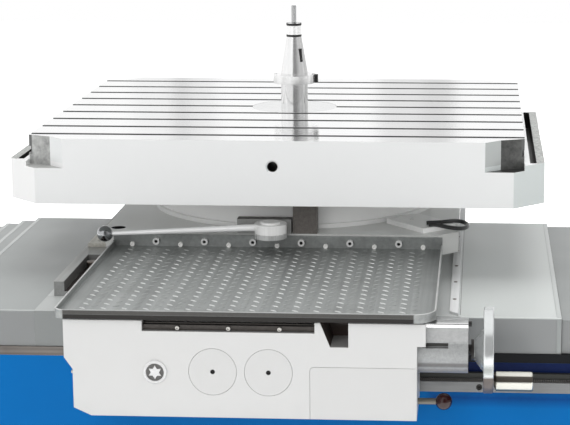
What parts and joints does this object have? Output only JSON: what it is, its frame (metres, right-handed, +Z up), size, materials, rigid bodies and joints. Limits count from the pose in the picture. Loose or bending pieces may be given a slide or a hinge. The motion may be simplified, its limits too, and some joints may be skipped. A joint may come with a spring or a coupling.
{
  "type": "horizontal boring mill work-table unit",
  "caption": "Rotary T-slot table on a cross slide and saddle, with apron, handwheel, clamp lever and tread-plate tray, on a bed with telescopic way covers.",
  "frame": {"origin": "on the floor under the middle of the bed", "axes": "+X along the bed to the operator's right, +Y away from the operator, +Z up"},
  "size_m": [3.05, 2.11, 1.49],
  "materials": {
    "blue_paint": "satin enamel",
    "white_paint": "satin enamel",
    "grey_paint": "satin enamel",
    "ground_iron": "ground and scraped",
    "table_iron": "painted sides and a ground top",
    "dark_steel": "blackened",
    "ground_steel": "ground",
    "tread_steel": "rolled tread plate",
    "chrome": "polished",
    "aluminium": "cast and machined",
    "red_plastic": "moulded",
    "sight_white": "moulded"
  },
  "bodies": {
    "bed": {"bed_casting": "blue_paint", "bed_way_front": "ground_iron", "bed_way_back": "ground_iron", "bed_side_strips": "ground_iron", "bed_end_left": "grey_paint", "bed_end_right": "grey_paint", "levelling_feet": "dark_steel", "feed_rack": "ground_steel", "left_cover_5": "grey_paint", "right_cover_5": "grey_paint"},
    "saddle": {"saddle_casting": "grey_paint", "cross_way_left": "ground_iron", "cross_way_right": "ground_iron", "stop_bolt": "ground_steel", "right_wiper_strip": "aluminium", "apron_casting": "white_paint", "apron_gear_cover": "white_paint", "round_cover_left": "white_paint", "round_cover_right": "white_paint", "sight_glass": "sight_white", "apron_top_strip": "dark_steel", "handwheel_housing": "aluminium", "housing_top_bar": "chrome", "left_cover_1": "grey_paint", "right_cover_1": "grey_paint"},
    "cross_slide": {"cross_slide_casting": "grey_paint", "turntable_base": "white_paint", "index_pin_housing": "dark_steel", "corner_pad_front": "white_paint", "corner_pad_back": "white_paint", "tread_tray": "tread_steel", "tray_bolts": "ground_steel", "side_wiper": "aluminium", "lever_bracket": "grey_paint"},
    "rotary_table": {"table_casting": "table_iron", "centre_ring": "ground_steel", "arbor": "ground_steel", "pull_stud": "ground_steel"},
    "clamp_lever": {"clamp_hub": "chrome", "clamp_rod": "chrome", "clamp_ball": "chrome"},
    "handwheel": {"handwheel": "chrome", "handwheel_handle": "chrome"},
    "pull_rod": {"pull_rod": "ground_steel", "pull_knob": "red_plastic"},
    "left_cover_2": {"left_cover_2": "grey_paint"},
    "left_cover_3": {"left_cover_3": "grey_paint"},
    "left_cover_4": {"left_cover_4": "grey_paint"},
    "right_cover_2": {"right_cover_2": "grey_paint"},
    "right_cover_3": {"right_cover_3": "grey_paint"},
    "right_cover_4": {"right_cover_4": "grey_paint"}
  },
  "joints": [
    {"name": "saddle_slide", "type": "slide", "parent": "bed", "child": "saddle", "axis": [1, 0, 0], "range_m": [0, 0.78]},
    {"name": "cross_slide_travel", "type": "slide", "parent": "saddle", "child": "cross_slide", "axis": [0, -1, 0], "range_m": [0, 0.58]},
    {"name": "table_turn", "type": "hinge", "parent": "cross_slide", "child": "rotary_table", "pos_m": [-0.355, 0.465, 0.95], "axis": [0, 0, 1], "continuous": true},
    {"name": "clamp_lever_swing", "type": "hinge", "parent": "cross_slide", "child": "clamp_lever", "pos_m": [-0.373, -0.135, 0.86], "axis": [0, 0, 1], "range_deg": [0, 50]},
    {"name": "handwheel_turn", "type": "hinge", "parent": "saddle", "child": "handwheel", "pos_m": [0.285, -0.825, 0.677], "axis": [1, 0, 0], "continuous": true},
    {"name": "pull_rod_slide", "type": "slide", "parent": "saddle", "child": "pull_rod", "axis": [1, 0, 0], "range_m": [0, 0.025]},
    {"name": "left_cover_2_slide", "type": "slide", "parent": "bed", "child": "left_cover_2", "axis": [1, 0, 0], "range_m": [0, 0.586]},
    {"name": "left_cover_3_slide", "type": "slide", "parent": "bed", "child": "left_cover_3", "axis": [1, 0, 0], "range_m": [0, 0.391]},
    {"name": "left_cover_4_slide", "type": "slide", "parent": "bed", "child": "left_cover_4", "axis": [1, 0, 0], "range_m": [0, 0.196]},
    {"name": "right_cover_2_slide", "type": "slide", "parent": "bed", "child": "right_cover_2", "axis": [1, 0, 0], "range_m": [0, 0.586]},
    {"name": "right_cover_3_slide", "type": "slide", "parent": "bed", "child": "right_cover_3", "axis": [1, 0, 0], "range_m": [0, 0.391]},
    {"name": "right_cover_4_slide", "type": "slide", "parent": "bed", "child": "right_cover_4", "axis": [1, 0, 0], "range_m": [0, 0.196]}
  ],
  "couplings": [
    {"joint": "left_cover_2_slide", "follows": "saddle_slide", "ratio": 0.75},
    {"joint": "left_cover_3_slide", "follows": "saddle_slide", "ratio": 0.5},
    {"joint": "left_cover_4_slide", "follows": "saddle_slide", "ratio": 0.25},
    {"joint": "right_cover_2_slide", "follows": "saddle_slide", "ratio": 0.75},
    {"joint": "right_cover_3_slide", "follows": "saddle_slide", "ratio": 0.5},
    {"joint": "right_cover_4_slide", "follows": "saddle_slide", "ratio": 0.25}
  ]
}
